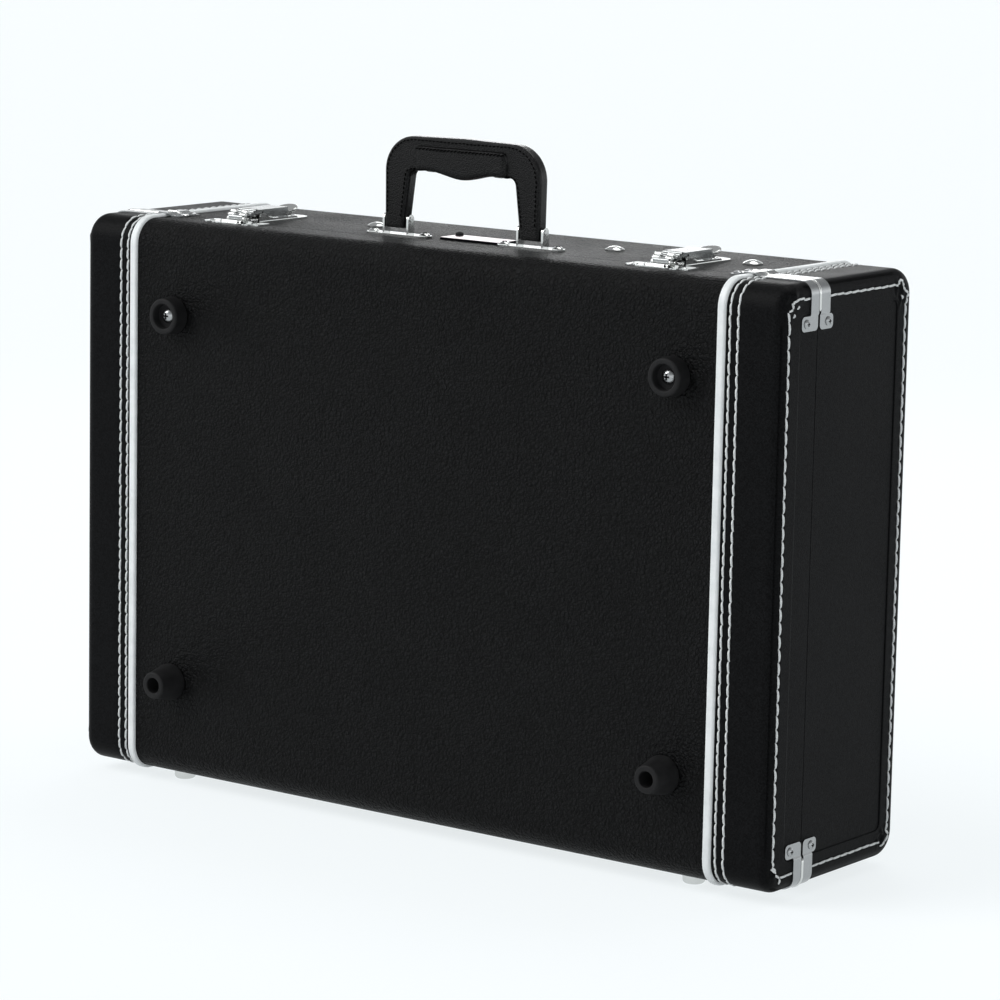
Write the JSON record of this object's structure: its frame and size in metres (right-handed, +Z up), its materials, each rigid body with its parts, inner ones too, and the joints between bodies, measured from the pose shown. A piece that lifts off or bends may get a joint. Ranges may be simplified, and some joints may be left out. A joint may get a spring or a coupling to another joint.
{
  "type": "guitar pedal case",
  "caption": "Hard carrying case for guitar effects pedals: covered plywood base and deep lid on hinges, draw latches, folding handle, rubber feet.",
  "frame": {"origin": "On the floor that the metal glides stand on, below the middle of the whole outline.", "axes": "+X along the length of the case, -Y towards the face with the rubber feet, +Z up towards the handle."},
  "size_m": [0.671, 0.2002, 0.534],
  "materials": {
    "grained_vinyl": "black vinyl with a coarse pebble grain",
    "smooth_vinyl": "black vinyl with a fine smooth grain",
    "white_piping": "off-white moulded piping and waxed thread",
    "plywood": "birch plywood",
    "plush": "short black pile",
    "loop_carpet": "dark grey loop-pile carpet",
    "rubber": "matt black rubber",
    "nickel_plate": "nickel plated steel",
    "hinge_steel": "dark zinc plated steel",
    "screw_steel": "plain steel",
    "handle_leather": "black textured leather, stitched",
    "plate_metal": "satin anodised, blank"
  },
  "bodies": {
    "base": {"base_corner_screws": "nickel_plate", "base_corner_strips": "nickel_plate", "base_cover": "grained_vinyl", "base_end_cover_left": "smooth_vinyl", "base_end_cover_right": "smooth_vinyl", "base_end_panel_left": "smooth_vinyl", "base_end_panel_right": "smooth_vinyl", "base_end_walls": "plywood", "base_glides": "nickel_plate", "base_hinge_leaves": "hinge_steel", "base_hinge_rivets": "hinge_steel", "base_lining": "plush", "base_lip": "plywood", "base_long_walls": "plywood", "base_panel": "plywood", "base_piping": "white_piping", "catch_screws": "nickel_plate", "deck_carpet": "loop_carpet", "foot_screws": "screw_steel", "hinge_pins": "hinge_steel", "latch_catch_left": "nickel_plate", "latch_catch_right": "nickel_plate", "pedal_deck": "plywood", "short_feet": "rubber", "tall_feet": "rubber"},
    "lid": {"handle_mount_left": "nickel_plate", "handle_mount_right": "nickel_plate", "handle_mount_screws": "nickel_plate", "handle_pins": "nickel_plate", "latch_pivot_pins": "nickel_plate", "latch_plate_left": "nickel_plate", "latch_plate_right": "nickel_plate", "latch_plate_rivets": "nickel_plate", "lid_corner_screws": "nickel_plate", "lid_corner_strips": "nickel_plate", "lid_cover": "grained_vinyl", "lid_end_cover_left": "smooth_vinyl", "lid_end_cover_right": "smooth_vinyl", "lid_end_panel_left": "smooth_vinyl", "lid_end_panel_right": "smooth_vinyl", "lid_end_walls": "plywood", "lid_foam": "plush", "lid_glides": "nickel_plate", "lid_hinge_leaves": "hinge_steel", "lid_hinge_rivets": "hinge_steel", "lid_lining": "plush", "lid_long_walls": "plywood", "lid_panel": "plywood", "lid_piping": "white_piping", "lid_studs": "nickel_plate", "name_plate": "plate_metal"},
    "handle": {"handle_body": "handle_leather", "handle_grip": "handle_leather", "handle_core": "screw_steel"},
    "lever_left": {"latch_lever_left": "nickel_plate", "latch_claw_pin_left": "nickel_plate"},
    "lever_right": {"latch_lever_right": "nickel_plate", "latch_claw_pin_right": "nickel_plate"},
    "claw_left": {"latch_claw_left": "nickel_plate"},
    "claw_right": {"latch_claw_right": "nickel_plate"}
  },
  "joints": [
    {"name": "lid_hinge", "type": "hinge", "parent": "base", "child": "lid", "pos_m": [0, -0.0321, 0.0039], "axis": [-1, 0, 0], "range_deg": [0, 120]},
    {"name": "handle_swing", "type": "hinge", "parent": "lid", "child": "handle", "pos_m": [0, -0.0151, 0.468], "axis": [1, 0, 0], "range_deg": [-90, 90]},
    {"name": "lever_left_lift", "type": "hinge", "parent": "lid", "child": "lever_left", "pos_m": [-0.204, -0.0281, 0.4605], "axis": [1, 0, 0], "range_deg": [0, 60]},
    {"name": "claw_left_tilt", "type": "hinge", "parent": "lever_left", "child": "claw_left", "pos_m": [-0.204, 0.0079, 0.46], "axis": [1, 0, 0], "range_deg": [-31, 0]},
    {"name": "lever_right_lift", "type": "hinge", "parent": "lid", "child": "lever_right", "pos_m": [0.204, -0.0281, 0.4605], "axis": [1, 0, 0], "range_deg": [0, 60]},
    {"name": "claw_right_tilt", "type": "hinge", "parent": "lever_right", "child": "claw_right", "pos_m": [0.204, 0.0079, 0.46], "axis": [1, 0, 0], "range_deg": [-31, 0]}
  ],
  "couplings": [
    {"joint": "claw_left_tilt", "follows": "lever_left_lift", "ratio": -0.514},
    {"joint": "claw_right_tilt", "follows": "lever_right_lift", "ratio": -0.514}
  ]
}
